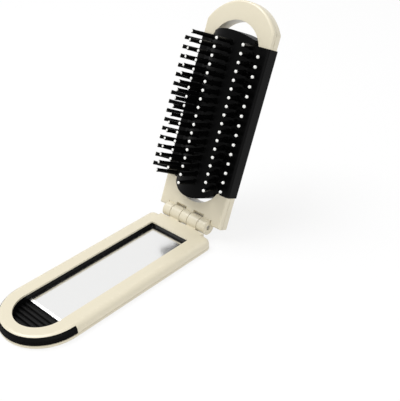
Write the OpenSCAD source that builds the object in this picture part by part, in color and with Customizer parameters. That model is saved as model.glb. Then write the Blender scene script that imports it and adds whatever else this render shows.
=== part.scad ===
// Folding hairbrush with a mirror. The mirror half lies flat, the brush half stands on the
// hinge and leans back. Millimetres. The origin is the centre of the mirror half's underside,
// X runs along the hinge axis, Y from the round end to the hinge, Z up.

/* [Halves] */
// Width of both halves
body_w = 34.5; // [34:0.1:35.5]
// Length of the mirror half, from its round end to its hinge side
mirror_l = 86.2; // [85:0.1:90]
// Thickness of the mirror half
mirror_t = 4.8; // [4.7:0.05:4.9]
// Distance from the hinge axis to the mirror half
hinge_gap = 3.8; // [3.7:0.05:4]
// Height of the hinge axis above the table
hinge_z = 5.6; // [5.6:0.05:5.8]
// Lean of the brush half back from the vertical, in degrees
lean = 25; // [20:1:30]
// Radius of the mirror half's upper edge
edge_r = 2.2; // [1.8:0.1:2.4]
// Radius of the mirror half's lower edge
foot_r = 0.7; // [0.6:0.1:1.2]
// Radius of the mirror half's corners at the hinge
corner_r = 3; // [2.5:0.1:4]

/* [Mirror recess] */
// Half-width of the recess
recess_half = 10.5; // [10:0.1:11]
// Distance from the hinge axis to the recess
recess_y = 10.6; // [10:0.1:12]
// Width of the rim at the round end
rim_end = 5.35; // [5:0.05:6]
// Radius of the recess's corners at the hinge
recess_r = 0.5; // [0.3:0.1:0.6]
// Height of the pale lip above the black lining
lip_t = 0.7; // [0.5:0.05:1]
// Wall of the black lining
tray_wall = 0.9; // [0.7:0.05:1.1]
// Floor of the black lining
tray_floor = 0.6; // [0.5:0.05:0.7]
// Floor of the base cover under the lining
cover_floor = 0.6; // [0.5:0.05:0.7]
// Assembly gap around the lining
tray_gap = 0.05; // [0.03:0.01:0.1]
// Height of the base cover
cover_t = 1.5; // [1.4:0.05:1.6]
// Height of the seam line between the two shells
seam_h = 0.15; // [0.1:0.05:0.25]
// Depth of the seam line
seam_d = 0.3; // [0.2:0.05:0.5]
// Number of ribs in the round end of the lining
rib_n = 5; // [4:1:5]
// Pitch of those ribs
rib_pitch = 1.9; // [1.8:0.05:1.95]
// Radius of those ribs
rib_r = 0.75; // [0.6:0.05:0.85]
// Height of the floor that carries the ribs
rib_floor = 1.3; // [1.25:0.05:1.4]
// Distance from the centre of the recess's round end to the first rib
rib_start = 0.55; // [0.35:0.05:0.85]

/* [Mirror] */
// Distance from the mirror's free edge to the centre of the recess's round end
glass_back = 1.05; // [0.85:0.05:2]
// Thickness of the mirror
glass_t = 1; // [0.8:0.05:1.2]
// Gap around the mirror
glass_gap = 0.2; // [0.18:0.01:0.3]
// Width of the mirror's bevel
bevel_w = 0.9; // [0.5:0.05:1.2]
// Depth of the mirror's bevel
bevel_h = 0.3; // [0.2:0.05:0.5]
// Thickness of the adhesive pad
pad_t = 0.3; // [0.2:0.05:0.4]
// Inset of the adhesive pad
pad_inset = 2; // [1:0.1:4]

/* [Grip band] */
// Height of the band's lower edge
band_low = 1.6; // [1.55:0.05:1.8]
// Distance from the band's upper edge to the top face
band_top = 0.45; // [0.4:0.05:0.7]
// Thickness of the band
band_t = 1; // [0.8:0.05:1.3]
// Straight tail of the band beyond the half circle
band_tail = 0.7; // [0.5:0.1:2]
// Number of upright grooves round the band
groove_n = 59; // [39:2:69]
// Depth of the band's grooves, half their width
groove_r = 0.16; // [0.1:0.01:0.2]
// Number of level grooves round the band
ring_n = 3; // [1:1:3]
// Pitch of the level grooves
ring_pitch = 0.6; // [0.5:0.05:0.65]
// Height of the first level groove
ring_z = 2.2; // [2.1:0.05:2.3]

/* [Hinge] */
// Radius of the knuckles
knuckle_r = 3.1; // [3:0.05:3.15]
// Radius of the hinge pin
pin_r = 1; // [0.8:0.05:1.2]
// Radial running clearance of the pin
pin_play = 0.05; // [0.03:0.01:0.08]
// Half-width of the middle knuckle
knuckle_mid = 2; // [1.8:0.05:2.2]
// Width of a mirror knuckle
knuckle_w = 5.15; // [5:0.05:5.3]
// Width of an outer knuckle
knuckle_end = 4.05; // [3.8:0.05:4.2]
// Side gap between knuckles
knuckle_gap = 0.3; // [0.2:0.05:0.35]
// How far the pin's ends sit inside the outer knuckles
pin_recess = 0.7; // [0.2:0.05:0.8]
// Length of the clearance slots in the front plate, from the hinge axis
slot_v = 4.3; // [4.1:0.05:5]
// Clearance of the casing round the knuckles
knuckle_clear = 0.4; // [0.35:0.05:0.6]
// Height of the mirror knuckles' webs above the table
arm_low = 2.8; // [2.7:0.05:3]
// Length of the mirror knuckles' webs from the hinge axis
arm_l = 6.5; // [6.2:0.1:8]
// Half-width of the sill behind the knuckles
sill_half = 12.2; // [12:0.1:12.6]
// Distance from the hinge axis to the sill
sill_gap = 3.3; // [3.25:0.05:3.5]
// Width of the sill's bevelled edge
sill_cut = 0.4; // [0.2:0.05:0.6]

/* [Brush frame] */
// Distance from the hinge axis to the brush half's lower edge
frame_low = 1; // [0.9:0.05:1.2]
// Distance from the hinge axis to the centre of the top edge's arc
top_arc_v = 70.4; // [70:0.1:71]
// Radius of the top edge's arc
top_arc_r = 20; // [19.5:0.1:20.3]
// Radius of the top corners
top_corner_r = 2.4; // [2.3:0.1:2.6]
// Thickness of the brush half
frame_t = 5.6; // [5.4:0.05:5.6]
// Thickness of the front plate
plate_t = 1.8; // [1.6:0.05:2]
// Radius of the front plate's edge
plate_r = 1; // [0.6:0.05:1.2]
// Radius of the casing's back edge
back_r = 1.2; // [0.8:0.1:1.5]
// How far the lower corners are cut in
chamfer_u = 3; // [2.2:0.1:3]
// Length of the lower corner cuts
chamfer_v = 9.6; // [9.6:0.1:11]
// Half-width of the window
window_half = 12.8; // [12.75:0.05:12.9]
// Distance from the hinge axis to the centre of the window's lower end
window_low = 20.3; // [20.2:0.1:20.6]
// Distance from the hinge axis to the centre of the window's upper end
window_high = 69.8; // [69.6:0.1:70.4]
// Wall of the casing
casing_wall = 1.2; // [1:0.05:1.4]
// Depth of the groove between front plate and casing
groove_d = 0.25; // [0.15:0.05:0.4]
// Height of that groove
groove_h = 0.2; // [0.15:0.05:0.3]

/* [Side covers] */
// Lower end of the side covers, from the hinge axis
cover_low = 14.6; // [14:0.1:15]
// Upper end of the side covers, from the hinge axis
cover_high = 74.6; // [74.2:0.1:75.2]
// Thickness of the side covers
wing_t = 0.5; // [0.4:0.05:0.5]
// Depth of the seat of the side covers in the frame's sides
wing_seat = 0.4; // [0.3:0.05:0.5]
// Radius of the side covers' outer edge
wing_r = 1.2; // [0.9:0.05:1.3]
// Inner edge of the side covers, outside the window
wing_in = 0.2; // [0.15:0.05:0.3]
// Distance from the side covers' rear edge to the back of the frame
wing_back = 0.2; // [0.1:0.05:1]

/* [Bristle pad] */
// Height of the pad's crown above the front face
crown_n = 4.8; // [4.6:0.1:5]
// Radius of the pad's crown
crown_r = 16.5; // [16.2:0.1:17]
// Half-width of the pad's cushion
cushion_half = 10.3; // [10.25:0.05:10.35]
// Half-width of the cushion's lower part
cushion_foot = 9.2; // [9.1:0.05:9.3]
// Depth at which the cushion narrows
cushion_step = 1.5; // [1.4:0.05:1.8]
// Wall of the cushion
cushion_wall = 1; // [0.9:0.05:1]
// Side wall of the cushion's wide part
cushion_side = 0.6; // [0.5:0.05:0.65]
// Upper end of the pad, from the hinge axis
pad_high = 78.3; // [78:0.1:78.8]
// Lower end of the pad, from the hinge axis
pad_low = 9.5; // [9.2:0.1:10]
// Radius of the pad's upper end, seen from the front
pad_high_r = 30.7; // [28:0.1:32]
// Radius of the pad's lower end, seen from the front
pad_low_r = 16.5; // [16:0.1:17]
// Lower end of the cushion's hollow
hollow_low = 13.4; // [13.2:0.1:13.8]
// Upper end of the cushion's hollow
hollow_high = 75.4; // [75.2:0.1:75.8]
// Depth at which the cushion's hollow narrows
hollow_step = 0.9; // [0.8:0.05:1]
// Thickness of the pad's base
base_t = 1; // [0.8:0.05:1.2]
// Gap round the pad's base
base_gap = 0.05; // [0.03:0.01:0.1]
// Width of the ribs on the pad's base
base_rib = 1; // [0.8:0.05:1.1]
// Thickness of the webs at the cushion
web_in_t = 0.9; // [0.8:0.05:1]
// Gap between a web and its side cover
web_gap = 0.02; // [0.01:0.01:0.05]

/* [Pins] */
// Radius of a pin
rod_r = 0.6; // [0.5:0.02:0.6]
// Radius of a ball tip
ball_r = 0.66; // [0.64:0.01:0.9]
// Clearance of a pin in its hole
rod_play = 0.03; // [0.02:0.01:0.04]
// Root of the inner rows, across
inner_u = 2.2; // [2:0.05:2.4]
// Lean of the inner rows, in degrees
inner_lean = 7; // [5:0.5:9]
// Length of the inner rows' pins
inner_l = 11; // [10:0.1:11]
// Root of the middle rows, across
middle_u = 9.6; // [9.5:0.02:9.65]
// Lean of the middle rows, in degrees
middle_lean = 20; // [16:0.5:22]
// Length of the middle rows' pins
middle_l = 10; // [9:0.1:11]
// Root of the outer rows, across
outer_u = 11.7; // [11.6:0.02:11.75]
// Lean of the outer rows, in degrees
outer_lean = 44; // [41:0.5:45]
// Length of the outer rows' pins
outer_l = 10; // [8:0.1:11]
// Pins in a long row
long_n = 18; // [10:1:18]
// Pitch of a long row
long_pitch = 3.37; // [3.2:0.01:3.38]
// First pin of a long row, from the hinge axis
long_v = 73.75; // [73.5:0.05:73.9]
// Pins in a short row
short_n = 15; // [10:1:15]
// Pitch of the short inner row
short_pitch = 3.6; // [3.4:0.01:3.7]
// Pitch of the outer rows
outer_pitch = 3.78; // [3.5:0.01:3.8]
// First pin of a short row, from the hinge axis
short_v = 70.85; // [70.5:0.05:71]
// How far a backing strip runs past its end pins
strip_end = 0.9; // [0.7:0.05:1]

/* [Hidden] */
$fn = 96;
ball_fn = 32;
half_w = body_w / 2;
hinge_y = mirror_l / 2 + hinge_gap;
round_y = half_w - mirror_l - hinge_gap;
recess_arch_y = hinge_gap + mirror_l - rim_end - recess_half;
rib_y = recess_arch_y + rib_start;
glass_end = recess_arch_y - glass_back;
over = 1;
knuckle_2 = knuckle_mid + knuckle_gap;
knuckle_3 = knuckle_2 + knuckle_w + knuckle_gap;
knuckle_4 = knuckle_3 + knuckle_end;
bore_r = pin_r + pin_play;
glass_top = cover_floor + tray_floor + pad_t + glass_t;
glass_low = glass_top - glass_t;
glass_half = recess_half - glass_gap;
tray_top = mirror_t - lip_t - tray_gap;
seat_half = half_w - wing_seat;
wing_half = seat_half + wing_t;
wing_u = window_half + wing_in;
crown_c = crown_n - crown_r;
hollow_r = crown_r - cushion_wall;
hollow_half = cushion_half - cushion_side;
hollow_foot = cushion_foot - 0.8;
web_out = wing_u - web_gap;
edge_n = crown_c + sqrt(crown_r * crown_r - cushion_half * cushion_half);
outer_n = edge_n + (wing_t - edge_n) * (outer_u - cushion_half) / (web_out - cushion_half);
middle_n = crown_c + sqrt(crown_r * crown_r - middle_u * middle_u);
inner_n = crown_c + sqrt(crown_r * crown_r - inner_u * inner_u);
inner_back = 1.8;
middle_back = 1.9;
outer_back = 1.1;
inner_strip = [1.2, 2.5, 1.6, 0.9];
middle_strip = [7.6, -0.4, 1.8, 0.8];
outer_strip = [10.6, -0.9, 1.5, 0.9];
cream = [0.86, 0.82, 0.71];
black = [0.05, 0.05, 0.05];
white = [0.95, 0.95, 0.93];
steel = [0.62, 0.62, 0.63];
silver = [0.86, 0.88, 0.88];
grey = [0.45, 0.45, 0.45];

// Places of the two halves: Y from the hinge axis, or the brush half's own axes, where Y runs
// up the brush half from the hinge axis and Z stands out of its front face.
module at_mirror() {
    translate([0, hinge_y, 0])
    children();
}

module at_brush() {
    translate([0, hinge_y, hinge_z])
    rotate([90 - lean, 0, 0])
    children();
}

// A section with rounded edges: half-width, low and high levels and the two radii.
module rounded_bar(half, low, high, r_low, r_high) {
    intersection() {
        translate([-half, low])
        square([2 * half, high - low]);
        union() {
            translate([-half, low + r_low])
            square([2 * half, high - r_high - low - r_low]);
            if (r_high > 0) {
                translate([r_high - half, low + r_low])
                square([2 * (half - r_high), high - low - r_low]);
                for (side = [-1, 1])
                    translate([side * (half - r_high), high - r_high])
                    circle(r_high);
            }
            if (r_low > 0) {
                translate([r_low - half, low])
                square([2 * (half - r_low), high - low - r_high]);
                for (side = [-1, 1])
                    translate([side * (half - r_low), low + r_low])
                    circle(r_low);
            }
        }
    }
}

module rounded_half(half, low, high, r_low, r_high) {
    intersection() {
        rounded_bar(half, low, high, r_low, r_high);
        translate([0, low - over])
        square([half + over, high - low + 2 * over]);
    }
}

// Extrude a section along Y, from one place to another.
module along_y(from, to) {
    translate([0, to, 0])
    rotate([90, 0, 0])
    linear_extrude(to - from)
    children();
}

// Extrude a section along X: the section's first axis becomes Y.
module along_x(from, to) {
    translate([from, 0, 0])
    rotate([90, 0, 90])
    linear_extrude(to - from)
    children();
}

// The mirror half's outline with one round end, two small corners and rounded edges.
module mirror_shell(low, high, r_low, r_high, inset) {
    half = half_w - inset;
    r = corner_r - inset;
    end = -hinge_gap - inset;
    along_y(round_y, end - r)
    rounded_bar(half, low, high, r_low, r_high);
    translate([0, round_y, 0])
    rotate([0, 0, 180])
    rotate_extrude(angle = 180)
    rounded_half(half, low, high, r_low, r_high);
    along_x(r - half, half - r)
    translate([end - r, 0])
    rounded_half(r, low, high, r_low, r_high);
    for (side = [0, 1])
        mirror([side, 0, 0])
        translate([half - r, end - r, 0])
        rotate_extrude(angle = 90)
        rounded_half(r, low, high, r_low, r_high);
}

module recess_plan(grow) {
    half = recess_half + grow;
    end = grow - recess_y;
    translate([0, -recess_arch_y])
    circle(half);
    translate([-half, -recess_arch_y])
    square([2 * half, end - recess_r + recess_arch_y]);
    translate([recess_r - half, -recess_arch_y])
    square([2 * (half - recess_r), end + recess_arch_y]);
    for (side = [-1, 1])
        translate([side * (half - recess_r), end - recess_r])
        circle(recess_r);
}

module recess(grow, low, high) {
    translate([0, 0, low])
    linear_extrude(high - low)
    recess_plan(grow);
}

// The band's section between two levels, on the outline's own rounded edge, with level notches.
module band_section() {
    difference() {
        intersection() {
            rounded_half(half_w, cover_t, mirror_t, 0, edge_r);
            translate([half_w - band_t - edge_r / 3, band_low])
            square([band_t + edge_r, mirror_t - band_top - band_low]);
        }
        for (i = [0 : ring_n - 1])
            translate([half_w - groove_r, ring_z + i * ring_pitch - groove_r])
            square([over, 2 * groove_r]);
    }
}

module band_cut() {
    translate([0, round_y, 0])
    rotate([0, 0, 180])
    rotate_extrude(angle = 180)
    translate([half_w - band_t - edge_r / 3 - tray_gap, band_low - tray_gap])
    square([band_t + edge_r, mirror_t - band_top - band_low + 2 * tray_gap]);
    for (side = [0, 1])
        mirror([side, 0, 0])
        along_y(round_y, round_y + band_tail + tray_gap)
        translate([half_w - band_t - edge_r / 3 - tray_gap, band_low - tray_gap])
        square([band_t + edge_r, mirror_t - band_top - band_low + 2 * tray_gap]);
}

module hinge_barrel(from, to, r) {
    translate([from, 0, 0])
    rotate([0, 90, 0])
    cylinder(h = to - from, r = r);
}

module base_cover() {
    color(cream)
    at_mirror()
    difference() {
        union() {
            mirror_shell(0, cover_t - seam_h, foot_r, 0, 0);
            mirror_shell(cover_t - seam_h - foot_r / 2, cover_t, 0, 0, seam_d);
        }
        recess(tray_wall + tray_gap, cover_floor, cover_t + over);
    }
}

module mirror_case() {
    color(cream)
    at_mirror()
    difference() {
        union() {
            mirror_shell(cover_t, mirror_t, 0, edge_r, 0);
            for (side = [0, 1])
                mirror([side, 0, 0]) {
                    translate([0, 0, hinge_z])
                    hinge_barrel(knuckle_2, knuckle_2 + knuckle_w, knuckle_r);
                    translate([knuckle_2, -arm_l, arm_low])
                    cube([knuckle_w, arm_l, mirror_t - arm_low]);
                }
            along_x(-sill_half, sill_half)
            polygon([[-arm_l, cover_t], [-sill_gap, cover_t], [-sill_gap, mirror_t - sill_cut],
                     [-sill_gap - sill_cut, mirror_t], [-arm_l, mirror_t]]);
        }
        recess(0, cover_t - over, mirror_t + over);
        recess(tray_wall + tray_gap, cover_t - over, mirror_t - lip_t);
        band_cut();
        translate([0, 0, hinge_z])
        hinge_barrel(-knuckle_4, knuckle_4, bore_r);
    }
}

module mirror_tray() {
    color(black)
    at_mirror() {
        difference() {
            recess(tray_wall, cover_floor, tray_top);
            recess(0, cover_floor + tray_floor, tray_top + over);
        }
        intersection() {
            recess(tray_wall / 2, cover_floor + tray_floor / 2, tray_top);
            union() {
                translate([-half_w, -recess_arch_y - half_w, cover_floor])
                cube([body_w, half_w + recess_arch_y - glass_end - glass_gap, rib_floor - cover_floor]);
                for (i = [0 : rib_n - 1])
                    translate([0, -rib_y - i * rib_pitch, rib_floor])
                    hinge_barrel(-half_w, half_w, rib_r);
            }
        }
    }
}

module mirror_pad() {
    color(grey)
    at_mirror()
    translate([pad_inset - glass_half, pad_inset - glass_end, cover_floor + tray_floor])
    cube([2 * (glass_half - pad_inset), glass_end - recess_y - 2 * pad_inset, pad_t]);
}

module bevelled(half, low, high) {
    polygon([[-half, low], [half, low], [half, high - bevel_h], [half - bevel_w, high],
             [bevel_w - half, high], [-half, high - bevel_h]]);
}

module mirror_glass() {
    glass_mid = -(glass_end + recess_y + glass_gap) / 2;
    glass_len = (glass_end - recess_y - glass_gap) / 2;
    color(silver)
    at_mirror()
    intersection() {
        along_y(-glass_end - over, -recess_y)
        bevelled(glass_half, glass_low, glass_top);
        along_x(-half_w, half_w)
        translate([glass_mid, 0])
        bevelled(glass_len, glass_low, glass_top);
    }
}

module grip_band() {
    color(black)
    at_mirror()
    difference() {
        union() {
            translate([0, round_y, 0])
            rotate([0, 0, 180])
            rotate_extrude(angle = 180)
            band_section();
            for (side = [0, 1])
                mirror([side, 0, 0])
                along_y(round_y, round_y + band_tail)
                band_section();
        }
        for (i = [1 : groove_n])
            translate([0, round_y, 0])
            rotate([0, 0, -180 * i / (groove_n + 1)])
            translate([half_w - groove_r, -groove_r, cover_t])
            cube([over, 2 * groove_r, mirror_t]);
    }
}

module hinge_pin() {
    color(steel)
    at_mirror()
    translate([0, 0, hinge_z])
    hinge_barrel(pin_recess - knuckle_4, knuckle_4 - pin_recess, pin_r);
}

// The brush half's outline between two levels, with rounded edges.
module frame_slab(low, high, r_low, r_high, inset) {
    half = half_w - inset;
    r = top_corner_r - inset / 2;
    arc = top_arc_r - inset;
    corner_u = half - r;
    corner_v = sqrt((arc - r) * (arc - r) - corner_u * corner_u);
    slope = atan(chamfer_u / chamfer_v);
    bottom = frame_low + inset;
    intersection() {
        along_y(bottom, top_arc_v + corner_v)
        rounded_bar(half, low, high, r_low, r_high);
        along_x(-half_w, half_w)
        translate([bottom + top_arc_v, 0])
        rounded_bar(top_arc_v, low, high, r_low, r_high);
        for (side = [0, 1])
            mirror([side, 0, 0])
            translate([half_w - chamfer_u, frame_low, 0])
            rotate([0, 0, -slope])
            translate([-body_w - inset, 0, 0])
            along_y(-half_w, 3 * top_arc_v)
            rounded_bar(body_w, low, high, r_low, r_high);
    }
    for (side = [-1, 1])
        translate([side * corner_u, top_arc_v + corner_v, 0])
        rotate_extrude()
        rounded_half(r, low, high, r_low, r_high);
    intersection() {
        translate([0, top_arc_v, 0])
        rotate_extrude()
        rounded_half(arc, low, high, r_low, r_high);
        translate([0, top_arc_v, low - over])
        linear_extrude(high - low + 2 * over)
        polygon([[0, 0], 2 * [corner_u, corner_v], [0, 3 * arc], 2 * [-corner_u, corner_v]]);
    }
}

module window(half, low, high) {
    translate([0, 0, low])
    linear_extrude(high - low) {
        translate([0, window_low])
        circle(half);
        translate([0, window_high])
        circle(half);
        translate([-half, window_low])
        square([2 * half, window_high - window_low]);
    }
}

// The shallow seats of the side covers in the frame's two sides.
module wing_seats(low, high) {
    for (side = [0, 1])
        mirror([side, 0, 0])
        translate([seat_half, cover_low, low])
        cube([half_w, cover_high - cover_low, high - low]);
}

module brush_casing() {
    color(cream)
    at_brush()
    difference() {
        union() {
            frame_slab(-frame_t, -plate_t - groove_h, back_r, 0, 0);
            frame_slab(-plate_t - groove_h - over, -plate_t, 0, 0, groove_d);
        }
        window(window_half, -frame_t - over, 0);
        difference() {
            frame_slab(casing_wall - frame_t, over, 0, 0, casing_wall);
            window(window_half + casing_wall, -frame_t - over, 2 * over);
            translate([-half_w, 0, -frame_t - over])
            cube([body_w, cover_low / 2, frame_t + 3 * over]);
        }
        wing_seats(-frame_t - over, over);
        hinge_barrel(-knuckle_4 - knuckle_clear, knuckle_4 + knuckle_clear, knuckle_r + knuckle_clear);
    }
}

module front_plate() {
    color(cream)
    at_brush()
    difference() {
        union() {
            difference() {
                frame_slab(-plate_t, 0, 0, plate_r, 0);
                hinge_barrel(-knuckle_4 - knuckle_clear, knuckle_4 + knuckle_clear,
                             knuckle_r + knuckle_clear);
                for (side = [0, 1])
                    mirror([side, 0, 0])
                    translate([knuckle_mid, -over, -plate_t - over])
                    cube([knuckle_3 - knuckle_mid, slot_v + over, plate_t + 2 * over]);
            }
            hinge_barrel(-knuckle_mid, knuckle_mid, knuckle_r);
            translate([-knuckle_mid, 0, -plate_t])
            cube([2 * knuckle_mid, slot_v, plate_t]);
            for (side = [0, 1])
                mirror([side, 0, 0]) {
                    hinge_barrel(knuckle_3, knuckle_4, knuckle_r);
                    translate([knuckle_3, 0, -plate_t])
                    cube([knuckle_end, slot_v, plate_t]);
                }
        }
        window(window_half, -plate_t - over, over);
        wing_seats(-plate_t - over, over);
        hinge_barrel(-knuckle_4 - over, knuckle_4 + over, bore_r);
    }
}

module wing() {
    color(black)
    at_brush()
    along_y(cover_low, cover_high)
    difference() {
        union() {
            translate([wing_u, 0])
            square([wing_half - wing_r - wing_u, wing_t]);
            translate([seat_half, wing_back - frame_t])
            square([wing_t, frame_t - wing_back + wing_t - wing_r]);
            translate([wing_half - wing_r, wing_t - wing_r])
            circle(wing_r);
        }
        translate([0, -frame_t])
        square([seat_half, frame_t]);
    }
}

module wing_right() {
    wing();
}

module wing_left() {
    mirror([1, 0, 0])
    wing();
}

// The pad's outline seen from the front, with its two curved ends.
module pad_plan(from_n, to_n) {
    translate([0, 0, from_n])
    linear_extrude(to_n - from_n)
    intersection() {
        union() {
            translate([0, pad_high - pad_high_r])
            circle(pad_high_r);
            translate([-half_w, 0])
            square([body_w, pad_high - pad_high_r]);
        }
        union() {
            translate([0, pad_low + pad_low_r])
            circle(pad_low_r);
            translate([-half_w, pad_low + pad_low_r])
            square([body_w, top_arc_v]);
        }
    }
}

module crown_section(r, half, foot, step, low) {
    intersection() {
        translate([0, crown_c])
        circle(r);
        union() {
            translate([-half, -step])
            square([2 * half, step + crown_n]);
            translate([-foot, low])
            square([2 * foot, crown_n - low]);
        }
    }
    translate([-foot, low])
    square([2 * foot, -step - low]);
}

// All the pins of one row as cylinders: grow widens them, start and stop run along the pin.
module row_rods(u, n, tilt, first, pitch, count, r, start, stop) {
    for (i = [0 : count - 1])
        translate([u, first - i * pitch, n])
        rotate([0, tilt, 0])
        translate([0, 0, start])
        cylinder(h = stop - start, r = r, $fn = 48);
}

function row_u(row) = row == 1 || row == 6 ? outer_u : row == 2 || row == 5 ? middle_u : inner_u;
function row_n(row) = row == 1 || row == 6 ? outer_n : row == 2 || row == 5 ? middle_n : inner_n;
function row_tilt(row) = row == 1 || row == 6 ? outer_lean : row == 2 || row == 5 ? middle_lean : inner_lean;
function row_l(row) = row == 1 || row == 6 ? outer_l : row == 2 || row == 5 ? middle_l : inner_l;
function row_back(row) = row == 1 || row == 6 ? outer_back : row == 2 || row == 5 ? middle_back : inner_back;
function row_strip(row) = row == 1 || row == 6 ? outer_strip : row == 2 || row == 5 ? middle_strip : inner_strip;
function row_long(row) = row == 2 || row == 4 || row == 5;
function row_first(row) = row_long(row) ? long_v : short_v;
function row_pitch(row) = row_long(row) ? long_pitch : row == 3 ? short_pitch : outer_pitch;
function row_count(row) = row_long(row) ? long_n : short_n;

module row_side(row) {
    mirror([row < 4 ? 1 : 0, 0, 0])
    children();
}

module row_holes(row) {
    row_side(row)
    row_rods(row_u(row), row_n(row), row_tilt(row), row_first(row), row_pitch(row), row_count(row),
             rod_r + rod_play, -2 * row_back(row), 2 * row_back(row));
}

module pin_row(row) {
    strip = row_strip(row);
    last = row_first(row) - row_pitch(row) * (row_count(row) - 1);
    color(black)
    at_brush()
    row_side(row) {
        row_rods(row_u(row), row_n(row), row_tilt(row), row_first(row), row_pitch(row), row_count(row),
                 rod_r, -row_back(row), row_l(row));
        translate([strip[0], last - strip_end, strip[1]])
        cube([strip[2], row_first(row) - last + 2 * strip_end, strip[3]]);
    }
}

module tip_row(row) {
    color(white)
    at_brush()
    row_side(row)
    for (i = [0 : row_count(row) - 1])
        translate([row_u(row), row_first(row) - i * row_pitch(row), row_n(row)])
        rotate([0, row_tilt(row), 0])
        translate([0, 0, row_l(row)])
        difference() {
            sphere(ball_r, $fn = ball_fn);
            translate([0, 0, -2 * ball_r])
            cylinder(h = 2 * ball_r, r = rod_r + rod_play, $fn = 48);
        }
}

module pad_cushion() {
    color(black)
    at_brush()
    difference() {
        intersection() {
            along_y(0, 2 * top_arc_v)
            crown_section(crown_r, cushion_half, cushion_foot, cushion_step, -frame_t);
            pad_plan(-frame_t - over, crown_n + over);
        }
        along_y(hollow_low, hollow_high)
        crown_section(hollow_r, hollow_half, hollow_foot, hollow_step, -frame_t - over);
        for (row = [2 : 5])
            row_holes(row);
    }
}

module pad_base() {
    foot = hollow_foot - base_gap;
    color(grey)
    at_brush() {
        translate([-foot, hollow_low + base_gap, -frame_t])
        cube([2 * foot, hollow_high - hollow_low - 2 * base_gap, base_t]);
        for (side = [0, 1])
            mirror([side, 0, 0]) {
                translate([inner_strip[0], hollow_low + base_gap, -frame_t])
                cube([base_rib, hollow_high - hollow_low - 2 * base_gap, frame_t + inner_strip[1]]);
                translate([foot - base_rib, hollow_low + base_gap, -frame_t])
                cube([base_rib, hollow_high - hollow_low - 2 * base_gap, frame_t + middle_strip[1]]);
            }
    }
}

module web(side) {
    color(black)
    at_brush()
    difference() {
        intersection() {
            mirror([side, 0, 0])
            along_y(cover_low, cover_high)
            polygon([[cushion_half, edge_n - web_in_t], [web_out, 0], [web_out, wing_t],
                     [cushion_half, edge_n]]);
            pad_plan(-over, crown_n);
        }
        row_holes(side == 1 ? 1 : 6);
        window_rim(side);
    }
}

// Nothing of a web may lie inside the front plate where the window's round ends narrow it.
module window_rim(side) {
    difference() {
        mirror([side, 0, 0])
        translate([0, 0, -frame_t])
        cube([half_w, 2 * top_arc_v, frame_t]);
        window(window_half - web_gap, -frame_t - over, over);
    }
}

module web_right() {
    web(0);
}

module web_left() {
    web(1);
}

module pin_row_1() {
    pin_row(1);
}

module pin_row_2() {
    pin_row(2);
}

module pin_row_3() {
    pin_row(3);
}

module pin_row_4() {
    pin_row(4);
}

module pin_row_5() {
    pin_row(5);
}

module pin_row_6() {
    pin_row(6);
}

module tip_row_1() {
    tip_row(1);
}

module tip_row_2() {
    tip_row(2);
}

module tip_row_3() {
    tip_row(3);
}

module tip_row_4() {
    tip_row(4);
}

module tip_row_5() {
    tip_row(5);
}

module tip_row_6() {
    tip_row(6);
}

base_cover();
mirror_case();
mirror_tray();
mirror_pad();
mirror_glass();
grip_band();
hinge_pin();
brush_casing();
front_plate();
wing_left();
wing_right();
pad_cushion();
web_left();
web_right();
pad_base();
pin_row_1();
pin_row_2();
pin_row_3();
pin_row_4();
pin_row_5();
pin_row_6();
tip_row_1();
tip_row_2();
tip_row_3();
tip_row_4();
tip_row_5();
tip_row_6();
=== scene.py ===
import logging
import math
from collections.abc import Sequence
from dataclasses import dataclass, field
from enum import Enum
from typing import Any

import bmesh
import bpy
from mathutils import Matrix, Vector


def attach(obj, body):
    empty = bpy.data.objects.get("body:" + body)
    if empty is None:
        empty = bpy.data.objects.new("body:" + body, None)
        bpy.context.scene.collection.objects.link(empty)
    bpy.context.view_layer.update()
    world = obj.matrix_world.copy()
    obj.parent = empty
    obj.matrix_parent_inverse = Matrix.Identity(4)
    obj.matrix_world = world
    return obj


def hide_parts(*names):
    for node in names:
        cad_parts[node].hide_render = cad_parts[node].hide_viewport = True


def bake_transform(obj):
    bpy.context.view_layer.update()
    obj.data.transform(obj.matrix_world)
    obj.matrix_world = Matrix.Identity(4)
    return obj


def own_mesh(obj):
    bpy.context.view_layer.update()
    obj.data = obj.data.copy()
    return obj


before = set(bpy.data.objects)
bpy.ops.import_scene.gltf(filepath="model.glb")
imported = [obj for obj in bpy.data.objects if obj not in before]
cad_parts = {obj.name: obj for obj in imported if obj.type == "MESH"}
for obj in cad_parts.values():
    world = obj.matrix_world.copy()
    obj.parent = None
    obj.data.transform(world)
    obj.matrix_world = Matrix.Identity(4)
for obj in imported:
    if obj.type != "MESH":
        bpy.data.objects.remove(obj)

LOG = logging.getLogger("hairbrush")
MM = 0.001
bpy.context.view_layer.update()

Shade = tuple[float, float, float, float]
WHITE: Shade = (1.0, 1.0, 1.0, 1.0)


class Side(Enum):
    """The two sides of the brush half, with the sign of their X."""

    LEFT = -1
    RIGHT = 1


def linear(value: float) -> float:
    """Turn one display value from 0 to 1 into a linear one."""
    return value / 12.92 if value <= 0.04045 else ((value + 0.055) / 1.055) ** 2.4


def colour(red: float, green: float, blue: float) -> Shade:
    """Turn a display colour into a linear colour with full alpha."""
    return (linear(red), linear(green), linear(blue), 1.0)


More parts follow.
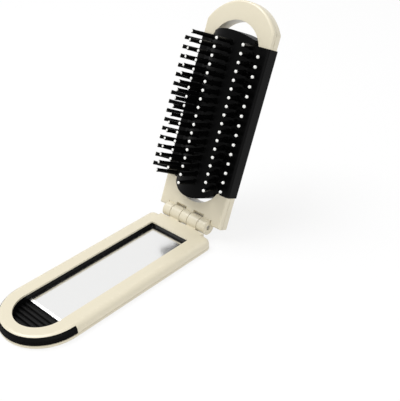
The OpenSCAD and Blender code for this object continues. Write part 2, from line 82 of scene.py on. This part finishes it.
class Value:
    """A shader socket that adds Math nodes when it is used in an expression."""

    def __init__(self, graph: "Graph", socket: bpy.types.NodeSocket) -> None:
        """Keep the socket and the graph it belongs to."""
        self.graph = graph
        self.socket = socket

    def _join(self, operation: str, first: Any, second: Any) -> "Value":
        """Add one Math node.

        Args:
            operation: the Math node's operation.
            first: the first value or number.
            second: the second value or number.

        Returns:
            The node's result.
        """
        return self.graph.node("ShaderNodeMath", {"operation": operation}, {0: first, 1: second})

    def __add__(self, other: Any) -> "Value":
        """Add."""
        return self._join("ADD", self, other)

    def __radd__(self, other: Any) -> "Value":
        """Add to a number."""
        return self._join("ADD", other, self)

    def __sub__(self, other: Any) -> "Value":
        """Subtract."""
        return self._join("SUBTRACT", self, other)

    def __rsub__(self, other: Any) -> "Value":
        """Subtract from a number."""
        return self._join("SUBTRACT", other, self)

    def __mul__(self, other: Any) -> "Value":
        """Multiply."""
        return self._join("MULTIPLY", self, other)

    def __rmul__(self, other: Any) -> "Value":
        """Multiply a number."""
        return self._join("MULTIPLY", other, self)

    def above(self, limit: float) -> "Value":
        """Say where the value is greater than a limit."""
        return self._join("GREATER_THAN", self, limit)


class Graph:
    """A shader node tree, emptied, with the ways of adding to it."""

    def __init__(self, tree: bpy.types.NodeTree) -> None:
        """Empty the tree and keep it.

        Args:
            tree: the node tree of a material or the world.
        """
        self.tree = tree
        self.tree.nodes.clear()

    def feed(self, socket: bpy.types.NodeSocket, value: Any) -> None:
        """Link a value to a socket, or set it there.

        Args:
            socket: the socket to feed.
            value: a Value, or what the socket's default takes.
        """
        if isinstance(value, Value):
            self.tree.links.new(value.socket, socket)
        else:
            socket.default_value = value

    def node(
        self,
        kind: str,
        settings: dict[str, Any] | None = None,
        inputs: dict[Any, Any] | None = None,
        output: Any = 0,
    ) -> Value:
        """Add a node of any kind.

        Args:
            kind: the node's type.
            settings: its settings, set first.
            inputs: values or links of its sockets.
            output: the output to return.

        Returns:
            The chosen output.
        """
        made = self.tree.nodes.new(kind)
        for key, value in (settings or {}).items():
            setattr(made, key, value)
        for key, value in (inputs or {}).items():
            self.feed(made.inputs[key], value)
        return Value(self, made.outputs[output])

    def ray(self, kind: str) -> Value:
        """Say whether the ray that sees the surface is of a kind."""
        return self.node("ShaderNodeLightPath", output=f"Is {kind} Ray")

    def mix_shaders(self, share: Value, first: Value, second: Value) -> Value:
        """Mix two shaders by a share."""
        return self.node("ShaderNodeMixShader", {}, {0: share, 1: first, 2: second})


class Recipe(Graph):
    """The node tree of one material, around one Principled shader."""

    MIX_MASK, MIX_FIRST, MIX_SECOND, MIX_COLOUR = 0, 6, 7, 2

    def __init__(self, name: str) -> None:
        """Start a material that shows its Principled shader.

        Args:
            name: the material's name.
        """
        self.material = bpy.data.materials.new(name)
        self.material.use_nodes = True
        super().__init__(self.material.node_tree)
        self.output = self.tree.nodes.new("ShaderNodeOutputMaterial")
        self.shader = self.tree.nodes.new("ShaderNodeBsdfPrincipled")
        self.show(self.shading())

    def shading(self) -> Value:
        """Give the Principled shader's result."""
        return Value(self, self.shader.outputs[0])

    def show(self, shading: Value) -> None:
        """Make a shader the material's surface."""
        self.feed(self.output.inputs["Surface"], shading)

    def noise(self, size: float, detail: float = 2.0, rough: float = 0.5) -> Value:
        """Give noise from 0 to 1 in the object's own coordinates.

        Args:
            size: the size of its grains in metres.
            detail: the number of finer layers.
            rough: the strength of the finer layers.

        Returns:
            The noise.
        """
        place = self.node("ShaderNodeTexCoord", output="Object")
        inputs = {"Vector": place, "Scale": 1 / size, "Detail": detail, "Roughness": rough}
        return self.node("ShaderNodeTexNoise", {}, inputs)

    def blend(self, mask: Any, first: Any, second: Any) -> Value:
        """Mix two colours by a mask."""
        return self.node(
            "ShaderNodeMix",
            {"data_type": "RGBA"},
            {self.MIX_MASK: mask, self.MIX_FIRST: first, self.MIX_SECOND: second},
            self.MIX_COLOUR,
        )

    def bump(self, height: Value, depth: float) -> None:
        """Feed a height map to the shader's normal.

        Args:
            height: heights from 0 to 1.
            depth: the depth in metres that 1 stands for.
        """
        inputs = {"Height": height, "Distance": depth, "Strength": 1.0}
        self.feed(self.shader.inputs["Normal"], self.node("ShaderNodeBump", {}, inputs, "Normal"))

    def surface(self, **values: Any) -> None:
        """Set or link the shader's sockets, by their names in lower case with underscores."""
        for key, value in values.items():
            name = key.replace("_", " ").title().replace("Ior", "IOR")
            self.feed(self.shader.inputs[name], value)


@dataclass(frozen=True)
class Moulded:
    """Injection-moulded plastic or rubber with a faint grain and uneven gloss."""

    name: str
    shade: Shade
    shade_low: Shade
    roughness: float
    roughness_span: float
    grain: float
    grain_depth: float
    coat: float = 0.0
    coat_roughness: float = 0.18
    specular: float = 0.5
    cloud_size: float = 14 * MM
    fine_size: float = 1.6 * MM
    cloud_in_shade: float = 0.7
    cloud_in_gloss: float = 0.6

    def material(self) -> bpy.types.Material:
        """Build the material.

        Returns:
            The finished material.
        """
        recipe = Recipe(self.name)
        cloud = recipe.noise(self.cloud_size, 3.0)
        fine = recipe.noise(self.fine_size, 4.0, 0.6)
        shade_mask = cloud * self.cloud_in_shade + fine * (1 - self.cloud_in_shade)
        gloss_mask = cloud * self.cloud_in_gloss + fine * (1 - self.cloud_in_gloss)
        recipe.surface(
            base_color=recipe.blend(shade_mask, self.shade_low, self.shade),
            roughness=gloss_mask * self.roughness_span + (self.roughness - self.roughness_span / 2),
            coat_weight=self.coat,
            coat_roughness=self.coat_roughness,
            specular_ior_level=self.specular,
        )
        recipe.bump(recipe.noise(self.grain), self.grain_depth)
        return recipe.material


@dataclass(frozen=True)
class Silvered:
    """Silvered mirror glass, with a ground bevel that is paler than its face."""

    name: str = "silvered_mirror"
    face: Shade = (0.85, 0.85, 0.845, 1.0)
    ground: Shade = (0.98, 0.98, 0.98, 1.0)
    level: float = 0.995
    roughness: float = 0.13
    ground_roughness: float = 0.06
    haze_size: float = 9 * MM
    haze_span: float = 0.04

    def material(self) -> bpy.types.Material:
        """Build the material.

        Returns:
            The finished material.
        """
        recipe = Recipe(self.name)
        normal = recipe.node("ShaderNodeNewGeometry", output="True Normal")
        flat = recipe.node("ShaderNodeSeparateXYZ", {}, {0: normal}, "Z").above(self.level)
        haze = recipe.noise(self.haze_size, 3.0)
        recipe.surface(
            base_color=recipe.blend(flat, self.ground, self.face),
            roughness=(1 - flat) * self.ground_roughness + haze * self.haze_span + self.roughness,
            metallic=1.0,
        )
        return recipe.material


@dataclass(frozen=True)
class DrawnSteel:
    """Plain drawn wire, with fine streaks."""

    name: str = "drawn_steel"
    shade: Shade = (0.52, 0.52, 0.53, 1.0)
    shade_low: Shade = (0.4, 0.4, 0.41, 1.0)
    roughness: float = 0.22
    roughness_span: float = 0.2
    streak_size: float = 0.4 * MM
    streak_depth: float = 0.004 * MM

    def material(self) -> bpy.types.Material:
        """Build the material.

        Returns:
            The finished material.
        """
        recipe = Recipe(self.name)
        streak = recipe.noise(self.streak_size, 3.0)
        recipe.surface(
            base_color=recipe.blend(streak, self.shade_low, self.shade),
            roughness=streak * self.roughness_span + self.roughness,
            metallic=1.0,
        )
        recipe.bump(streak, self.streak_depth)
        return recipe.material


class Finish(Enum):
    """Every finish of the brush, by the record's material slot."""

    cream_plastic = Moulded(
        name="cream_plastic", shade=colour(0.88, 0.85, 0.76), shade_low=colour(0.86, 0.825, 0.73),
        roughness=0.34, roughness_span=0.08, grain=0.35 * MM, grain_depth=0.003 * MM, coat=0.25,
    )
    black_plastic = Moulded(
        name="black_plastic",
        shade=colour(0.035, 0.035, 0.036), shade_low=colour(0.025, 0.025, 0.026),
        roughness=0.42, roughness_span=0.12, grain=0.3 * MM, grain_depth=0.008 * MM, specular=0.1,
    )
    black_rubber = Moulded(
        name="black_rubber",
        shade=colour(0.035, 0.035, 0.036), shade_low=colour(0.025, 0.025, 0.026),
        roughness=0.4, roughness_span=0.12, grain=0.25 * MM, grain_depth=0.004 * MM, specular=0.06,
    )
    black_nylon = Moulded(
        name="black_nylon", shade=colour(0.03, 0.03, 0.031), shade_low=colour(0.02, 0.02, 0.021),
        roughness=0.33, roughness_span=0.1, grain=0.4 * MM, grain_depth=0.004 * MM, specular=0.07,
    )
    white_tips = Moulded(
        name="white_tips", shade=colour(0.97, 0.97, 0.96), shade_low=colour(0.93, 0.93, 0.91),
        roughness=0.3, roughness_span=0.1, grain=0.3 * MM, grain_depth=0.003 * MM,
    )
    grey_plastic = Moulded(
        name="grey_plastic", shade=colour(0.2, 0.2, 0.2), shade_low=colour(0.16, 0.16, 0.16),
        roughness=0.5, roughness_span=0.12, grain=0.3 * MM, grain_depth=0.01 * MM,
    )
    foam_tape = Moulded(
        name="foam_tape", shade=colour(0.5, 0.5, 0.5), shade_low=colour(0.4, 0.4, 0.4),
        roughness=0.8, roughness_span=0.1, grain=0.3 * MM, grain_depth=0.04 * MM,
    )
    mirror = Silvered()
    steel_pin = DrawnSteel()


class Paints:
    """The materials made so far, one for each finish."""

    def __init__(self) -> None:
        """Start with none."""
        self.made: dict[Finish, bpy.types.Material] = {}

    def get(self, finish: Finish) -> bpy.types.Material:
        """Give the material of a finish, building it once."""
        if finish not in self.made:
            self.made[finish] = finish.value.material()
        return self.made[finish]

    def dress(self, piece: bpy.types.Object, finish: Finish) -> None:
        """Put one finish on a whole piece."""
        piece.data.materials.clear()
        piece.data.materials.append(self.get(finish))


@dataclass(frozen=True)
class Axes:
    """The brush half's own axes: across, up from the hinge, and out of the front face."""

    hinge_y: float = 46.9 * MM
    hinge_z: float = 5.6 * MM
    turn: float = math.radians(65)

    def matrix(self) -> Matrix:
        """Give the matrix from the brush half's axes to the frame."""
        place = Matrix.Translation((0, self.hinge_y, self.hinge_z))
        return place @ Matrix.Rotation(self.turn, 4, "X")

    def point(self, across: float, up: float, out: float) -> Vector:
        """Give a point of the brush half, stated in millimetres."""
        return self.matrix() @ Vector((across * MM, up * MM, out * MM))


def finish_mesh(
    name: str, work: bmesh.types.BMesh, matrix: Matrix, smooth: float = 35
) -> bpy.types.Object:
    """Turn a bmesh in millimetres into an object in the frame.

    Args:
        name: the piece's name.
        work: the mesh, freed here.
        matrix: from its axes to the frame, in metres.
        smooth: the angle in degrees up to which edges are smooth.

    Returns:
        The new object.
    """
    bmesh.ops.remove_doubles(work, verts=work.verts, dist=1e-5)
    bmesh.ops.scale(work, vec=(MM, MM, MM), verts=work.verts)
    bmesh.ops.transform(work, matrix=matrix, verts=work.verts)
    bmesh.ops.recalc_face_normals(work, faces=work.faces)
    limit = math.radians(smooth)
    for face in work.faces:
        face.smooth = True
    for edge in work.edges:
        edge.smooth = len(edge.link_faces) == 2 and edge.calc_face_angle(0.0) < limit
    mesh = bpy.data.meshes.new(name)
    work.to_mesh(mesh)
    work.free()
    piece = bpy.data.objects.new(name, mesh)
    bpy.context.scene.collection.objects.link(piece)
    return piece


def lathe(
    work: bmesh.types.BMesh, profile: Sequence[tuple[float, float]], place: Matrix, sides: int
) -> None:
    """Add a turned solid.

    Args:
        work: the mesh it is added to.
        profile: pairs of radius and height; a radius of 0 closes an end.
        place: where its axis stands.
        sides: the number of sides.
    """
    rings: list[list[bmesh.types.BMVert]] = []
    for radius, height in profile:
        if radius <= 0:
            rings.append([work.verts.new(place @ Vector((0, 0, height)))])
            continue
        ring = []
        for index in range(sides):
            angle = math.tau * index / sides
            at = Vector((radius * math.cos(angle), radius * math.sin(angle), height))
            ring.append(work.verts.new(place @ at))
        rings.append(ring)
    for low, high in zip(rings, rings[1:]):
        for index in range(sides):
            after = (index + 1) % sides
            corners = [low[index % len(low)], low[after % len(low)],
                       high[after % len(high)], high[index % len(high)]]
            unique = list(dict.fromkeys(corners))
            if len(unique) > 2:
                work.faces.new(unique)


@dataclass(frozen=True)
class Strip:
    """The backing strip of a row: its inner edge, underside, width and thickness in millimetres."""

    inner: float
    low: float
    width: float
    thick: float


@dataclass(frozen=True)
class Stance:
    """How the pins of a row stand, in millimetres and degrees.

    root and lean place a pin across the pad, foot is its length under the pad, and keep is the
    share of its distance from the middle that it keeps when the pad has sunk.
    """

    root: float
    lean: float
    length: float
    foot: float
    strip: Strip
    keep: float


@dataclass(frozen=True)
class Spacing:
    """Where the pins of a row stand along the brush, in millimetres from the hinge."""

    first: float
    pitch: float
    count: int

    @property
    def last(self) -> float:
        """The place of the last pin."""
        return self.first - self.pitch * (self.count - 1)


INNER = Stance(root=2.2, lean=7, length=11, foot=1.8, strip=Strip(1.2, 2.5, 1.6, 0.9), keep=1.0)
MIDDLE = Stance(root=9.6, lean=20, length=10, foot=1.9, strip=Strip(7.6, -0.4, 1.8, 0.8), keep=0.83)
OUTER = Stance(root=11.7, lean=44, length=10, foot=1.1, strip=Strip(10.6, -0.9, 1.5, 0.9), keep=0.64)
LONG = Spacing(first=73.75, pitch=3.37, count=18)
SHORT = Spacing(first=70.85, pitch=3.6, count=15)
WIDE = Spacing(first=70.85, pitch=3.78, count=15)
ROWS = {
    1: (OUTER, WIDE),
    2: (MIDDLE, LONG),
    3: (INNER, SHORT),
    4: (INNER, LONG),
    5: (MIDDLE, LONG),
    6: (OUTER, WIDE),
}
LEFT_ROWS = 3


@dataclass(frozen=True)
class Row:
    """One row of pins on the pad."""

    number: int
    stance: Stance
    spacing: Spacing
    level: float

    @property
    def side(self) -> Side:
        """The side of the brush that the row stands on."""
        return Side.LEFT if self.number <= LEFT_ROWS else Side.RIGHT

    def stand(self, index: int) -> Matrix:
        """Give the place and lean of one pin, its Z along the pin."""
        sign = self.side.value
        up = self.spacing.first - index * self.spacing.pitch
        place = Matrix.Translation((sign * self.stance.root, up, self.level))
        return place @ Matrix.Rotation(sign * math.radians(self.stance.lean), 4, "Y")


@dataclass(frozen=True)
class PinShape:
    """The forms that all pins share, in millimetres.

    root_collar lists shares of the rod's radius and heights over the pad for the moulded root.
    neck and ball_neck are shares of the rod's radius too, and lip is a share of the cup's.
    """

    rod: float = 0.86
    cup: float = 0.84
    ball: float = 0.68
    root_collar: tuple[tuple[float, float], ...] = (
        (1.05, -0.3), (1.6, -0.12), (1.5, 0.12), (1.15, 0.34), (1.05, 0.8),
    )
    neck: float = 0.9
    neck_below: float = 0.9
    cup_below: float = 0.4
    cup_above: float = 0.15
    lip_above: float = 0.3
    lip: float = 0.9
    ball_neck: float = 0.9
    rod_sides: int = 14
    ball_sides: int = 20
    ball_steps: int = 12
    neck_steps: int = 4

    def rod_profile(self, length: float, foot: float) -> list[tuple[float, float]]:
        """Give a pin's profile, from under the pad to the cup round its ball.

        Args:
            length: from the pad to the ball's centre.
            foot: its length under the pad.

        Returns:
            Pairs of radius and height.
        """
        collar = [(self.rod * share, height) for share, height in self.root_collar]
        return [
            (0, -foot),
            (self.rod, -foot),
            *collar,
            (self.rod, length / 2),
            (self.rod * self.neck, length - self.neck_below),
            (self.cup, length - self.cup_below),
            (self.cup, length + self.cup_above),
            (self.cup * self.lip, length + self.lip_above),
            (0, length + self.lip_above),
        ]

    def ball_profile(self) -> list[tuple[float, float]]:
        """Give a ball tip's profile, widened at its lower end to fill the pin's cup.

        Returns:
            Pairs of radius and height.
        """
        profile = [(0.0, -self.ball)]
        for step in range(1, self.ball_steps):
            angle = math.pi * step / self.ball_steps
            radius = self.ball * math.sin(angle)
            if step < self.neck_steps:
                radius = max(radius, self.rod * self.ball_neck)
            profile.append((radius, -self.ball * math.cos(angle)))
        profile.append((0.0, self.ball))
        return profile


@dataclass
class BristleHead:
    """The pad that carries the pins: cushion, webs, six rows of pins and their tips."""

    paints: Paints
    axes: Axes
    pin: PinShape = PinShape()
    crown: float = 4.8
    crown_radius: float = 16.5
    half: float = 10.3
    foot_half: float = 9.2
    step: float = 1.5
    back: float = 5.6
    high: float = 78.3
    high_radius: float = 30.7
    low: float = 9.5
    low_radius: float = 16.5
    cushion_columns: int = 40
    cushion_stations: int = 48
    soft_edge: float = 0.45
    soft_angle: float = 40
    web_out: float = 12.98
    web_level: float = 0.5
    web_low: float = 14.6
    web_high: float = 74.6
    web_thick: float = 0.5
    web_tuck: float = 0.15
    web_grip: float = 0.1
    web_middle: float = 45
    web_columns: int = 14
    web_stations: int = 60
    strip_end: float = 0.9
    strip_edge: float = 0.15

    def surface_level(self, across: float) -> float:
        """Give the height of the crown above the front face."""
        centre = self.crown - self.crown_radius
        return centre + math.sqrt(self.crown_radius**2 - across**2)

    def web_top(self, across: float) -> float:
        """Give the height of a web's upper face."""
        share = (abs(across) - self.half) / (self.web_out - self.half)
        edge = self.surface_level(self.half)
        return edge + (self.web_level - edge) * share

    def end(self, across: float, upper: bool) -> float:
        """Give the pad's end along the brush at a distance from its middle line."""
        if upper:
            return self.high - self.high_radius + math.sqrt(self.high_radius**2 - across**2)
        return self.low + self.low_radius - math.sqrt(self.low_radius**2 - across**2)

    def rows(self) -> list[Row]:
        """List the six rows, each with the height of its roots."""
        listed = []
        for number, (stance, spacing) in ROWS.items():
            top = self.web_top if stance.root > self.half else self.surface_level
            listed.append(Row(number, stance, spacing, top(stance.root)))
        return listed

    def build_cushion(self) -> None:
        """Build the crowned cushion, which is narrower below its step."""
        work = bmesh.new()
        count, stations = self.cushion_columns, self.cushion_stations
        columns = [-self.half + 2 * self.half * index / count for index in range(count + 1)]
        columns = sorted([*columns, -self.foot_half, self.foot_half])
        lows = [-self.back if abs(across) <= self.foot_half else -self.step for across in columns]
        top: list[list[bmesh.types.BMVert]] = []
        bottom: list[list[bmesh.types.BMVert]] = []
        for across, low in zip(columns, lows):
            start, stop = self.end(across, False), self.end(across, True)
            ups = [start + (stop - start) * index / stations for index in range(stations + 1)]
            top.append([work.verts.new((across, up, self.surface_level(across))) for up in ups])
            bottom.append([work.verts.new((across, up, low)) for up in ups])
        last = len(columns) - 1
        for i in range(last):
            for j in range(stations):
                work.faces.new((top[i][j], top[i + 1][j], top[i + 1][j + 1], top[i][j + 1]))
                work.faces.new(
                    (bottom[i][j], bottom[i][j + 1], bottom[i + 1][j + 1], bottom[i + 1][j])
                )
            for j in (0, stations):
                work.faces.new((top[i][j], top[i + 1][j], bottom[i + 1][j], bottom[i][j]))
        for i in (0, last):
            for j in range(stations):
                work.faces.new((top[i][j], top[i][j + 1], bottom[i][j + 1], bottom[i][j]))
        piece = finish_mesh("pad_cushion_soft", work, self.axes.matrix())
        soften = piece.modifiers.new("soft_edges", "BEVEL")
        soften.width = self.soft_edge * MM
        soften.segments = 3
        soften.limit_method = "ANGLE"
        soften.angle_limit = math.radians(self.soft_angle)
        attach(piece, "bristle_head")
        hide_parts("pad_cushion")
        self.paints.dress(piece, Finish.black_rubber)
        LOG.info("%s is built", piece.name)

    def build_web(self, side: Side) -> None:
        """Build one thin web between the cushion and the rail.

        Args:
            side: the side it is on.
        """
        work = bmesh.new()
        sign, inner, outer = side.value, self.half - self.web_tuck, self.web_out
        count, stations = self.web_columns, self.web_stations
        sheets: list[list[list[bmesh.types.BMVert]]] = [[], []]
        for i in range(count + 1):
            across = inner + (outer - inner) * i / count
            start = max(self.web_low, self.end(across, False))
            stop = min(self.web_high, self.end(across, True))
            ups = [start + (stop - start) * j / stations for j in range(stations + 1)]
            for layer, sheet in enumerate(sheets):
                level = self.web_top(across) - layer * self.web_thick
                sheet.append([work.verts.new((sign * across, up, level)) for up in ups])
        upper, lower = sheets
        for i in range(count):
            for j in range(stations):
                for sheet in sheets:
                    work.faces.new(
                        (sheet[i][j], sheet[i + 1][j], sheet[i + 1][j + 1], sheet[i][j + 1])
                    )
            for j in (0, stations):
                work.faces.new((upper[i][j], upper[i + 1][j], lower[i + 1][j], lower[i][j]))
        for i in (0, count):
            for j in range(stations):
                work.faces.new((upper[i][j], upper[i][j + 1], lower[i][j + 1], lower[i][j]))
        name = f"web_{side.name.lower()}"
        piece = finish_mesh(name + "_soft", work, self.axes.matrix())
        self.axes.point(sign * (outer - self.web_grip), self.web_middle, 0)
        self.axes.point(sign * (inner + self.web_grip), self.web_middle, 0)
        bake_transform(piece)
        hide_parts(name)
        self.paints.dress(piece, Finish.black_rubber)
        LOG.info("%s is built", piece.name)

    def build_pins(self, row: Row) -> None:
        """Build one row of pins on its backing strip.

        Args:
            row: the row.
        """
        work = bmesh.new()
        profile = self.pin.rod_profile(row.stance.length, row.stance.foot)
        for index in range(row.spacing.count):
            lathe(work, profile, row.stand(index), self.pin.rod_sides)
        strip, first, last = row.stance.strip, row.spacing.first, row.spacing.last
        middle = Matrix.Translation((
            row.side.value * (strip.inner + strip.width / 2),
            (first + last) / 2,
            strip.low + strip.thick / 2,
        ))
        length = first - last + 2 * self.strip_end
        size = Matrix.Diagonal((strip.width, length, strip.thick, 1))
        box = bmesh.ops.create_cube(work, size=1, matrix=middle @ size)
        edges = list({edge for vert in box["verts"] for edge in vert.link_edges})
        bmesh.ops.bevel(work, geom=edges, offset=self.strip_edge, segments=2, affect="EDGES")
        piece = finish_mesh(f"pins_row_{row.number}", work, self.axes.matrix(), 50)
        self.mount(piece, row, f"pin_row_{row.number}", Finish.black_nylon)

    def build_tips(self, row: Row) -> None:
        """Build one row of ball tips.

        Args:
            row: the row.
        """
        work = bmesh.new()
        profile = self.pin.ball_profile()
        tip = Matrix.Translation((0, 0, row.stance.length))
        for index in range(row.spacing.count):
            lathe(work, profile, row.stand(index) @ tip, self.pin.ball_sides)
        piece = finish_mesh(f"tips_row_{row.number}", work, self.axes.matrix(), 80)
        self.mount(piece, row, f"tip_row_{row.number}", Finish.white_tips)

    def mount(self, piece: bpy.types.Object, row: Row, node: str, finish: Finish) -> None:
        """Put a row's piece on the pad.

        Args:
            piece: the piece.
            row: its row.
            node: the CAD node it stands for.
            finish: its finish.
        """
        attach(piece, "bristle_head")
        if row.stance.keep < 1:
            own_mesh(piece)
        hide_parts(node)
        self.paints.dress(piece, finish)
        LOG.info("%s is built", piece.name)

    def build(self) -> None:
        """Build the whole pad."""
        self.build_cushion()
        for side in Side:
            self.build_web(side)
        for row in self.rows():
            self.build_pins(row)
            self.build_tips(row)


@dataclass
class Housings:
    """The moulded, glass and steel pieces whose solids keep their shape."""

    paints: Paints
    finishes: dict[str, Finish] = field(default_factory=lambda: {
        "base_cover": Finish.cream_plastic,
        "mirror_case": Finish.cream_plastic,
        "mirror_tray": Finish.black_plastic,
        "mirror_pad": Finish.foam_tape,
        "mirror_glass": Finish.mirror,
        "grip_band": Finish.black_rubber,
        "hinge_pin": Finish.steel_pin,
        "brush_casing": Finish.cream_plastic,
        "front_plate": Finish.cream_plastic,
        "wing_left": Finish.black_rubber,
        "wing_right": Finish.black_rubber,
        "pad_base": Finish.grey_plastic,
    })

    def build(self) -> None:
        """Dress every carried-over solid."""
        for name, finish in self.finishes.items():
            self.paints.dress(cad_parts[name], finish)
            LOG.info("%s is dressed in %s", name, finish.name)


@dataclass(frozen=True)
class Lamp:
    """A soft square lamp: its name, place and side in metres, and its power in watts."""

    name: str
    at: tuple[float, float, float]
    side: float
    power: float


@dataclass
class Studio:
    """The floor, the lamps and the world."""

    floor_half: float = 3.0
    floor_drop: float = 0.02 * MM
    floor_share: float = 0.82
    world_level: float = 0.5
    aim: tuple[float, float, float] = (0, 0.02, 0.03)
    lamps: tuple[Lamp, ...] = (
        Lamp("key_lamp", (-0.3, -0.12, 0.85), 0.5, 5.6),
        Lamp("fill_lamp", (0.7, -0.35, 0.4), 0.6, 1.6),
    )

    def build_floor(self) -> None:
        """Build the pale floor, which keeps the brush's shadow."""
        work = bmesh.new()
        bmesh.ops.create_grid(work, x_segments=2, y_segments=2, size=self.floor_half / MM)
        floor = finish_mesh("floor", work, Matrix.Translation((0, 0, -self.floor_drop)))
        recipe = Recipe("pale_floor")
        recipe.surface(base_color=colour(0.97, 0.97, 0.97), roughness=0.7, specular_ior_level=0.1)
        glow = recipe.node("ShaderNodeEmission", {}, {"Color": WHITE, "Strength": 1.0})
        share = recipe.ray("Camera") * self.floor_share + recipe.ray("Glossy")
        recipe.show(recipe.mix_shaders(share, recipe.shading(), glow))
        floor.data.materials.append(recipe.material)

    def build_lamp(self, lamp: Lamp) -> None:
        """Hang one lamp that looks at the brush.

        Args:
            lamp: the lamp.
        """
        data = bpy.data.lights.new(lamp.name, "AREA")
        data.shape = "SQUARE"
        data.size = lamp.side
        data.energy = lamp.power
        hung = bpy.data.objects.new(lamp.name, data)
        bpy.context.scene.collection.objects.link(hung)
        hung.location = lamp.at
        line = Vector(self.aim) - Vector(lamp.at)
        hung.rotation_euler = line.to_track_quat("-Z", "Y").to_euler()

    def build_world(self) -> None:
        """Give an even pale world that mirrors and the camera see as white."""
        world = bpy.data.worlds.new("studio")
        bpy.context.scene.world = world
        world.use_nodes = True
        graph = Graph(world.node_tree)
        lit, seen = (
            graph.node("ShaderNodeBackground", {}, {"Color": WHITE, "Strength": level})
            for level in (self.world_level, 1.0)
        )
        either = graph.node(
            "ShaderNodeMath",
            {"operation": "MAXIMUM"},
            {0: graph.ray("Camera"), 1: graph.ray("Glossy")},
        )
        output = graph.tree.nodes.new("ShaderNodeOutputWorld")
        graph.feed(output.inputs["Surface"], graph.mix_shaders(either, lit, seen))

    def build(self) -> None:
        """Build the whole studio."""
        self.build_floor()
        for lamp in self.lamps:
            self.build_lamp(lamp)
        self.build_world()


@dataclass
class PhotoCamera:
    """The camera, fitted to the photograph; angles in degrees, the focal length in pixels."""

    target: tuple[float, float, float] = (14.53 * MM, 39.98 * MM, 23.09 * MM)
    azimuth: float = 44.65
    elevation: float = 31.72
    roll: float = -2.54
    distance: float = 272.1 * MM
    focal: float = 705.1
    picture_width: int = 400
    sensor: float = 36.0
    nearest: float = 0.01

    def build(self) -> None:
        """Place the camera and make it the scene's."""
        turn, tilt, roll = (math.radians(a) for a in (self.azimuth, self.elevation, self.roll))
        back = Vector((
            math.sin(turn) * math.cos(tilt), -math.cos(turn) * math.cos(tilt), math.sin(tilt),
        ))
        right = Vector((math.cos(turn), math.sin(turn), 0))
        up = back.cross(right)
        rolled = right * math.cos(roll) + up * math.sin(roll)
        rolled_up = up * math.cos(roll) - right * math.sin(roll)
        data = bpy.data.cameras.new("photo_camera")
        data.sensor_fit = "HORIZONTAL"
        data.sensor_width = self.sensor
        data.lens = self.focal / self.picture_width * self.sensor
        data.clip_start = self.nearest
        camera = bpy.data.objects.new("photo_camera", data)
        bpy.context.scene.collection.objects.link(camera)
        pose = Matrix((rolled, rolled_up, back)).transposed().to_4x4()
        pose.translation = Vector(self.target) + back * self.distance
        camera.matrix_world = pose
        bpy.context.scene.camera = camera


def main() -> None:
    """Build the pieces in order."""
    logging.basicConfig(level=logging.INFO)
    bpy.context.scene.view_settings.view_transform = "Standard"
    paints = Paints()
    PhotoCamera().build()
    Studio().build()
    Housings(paints).build()
    BristleHead(paints, Axes()).build()


if __name__ == "__main__":
    main()
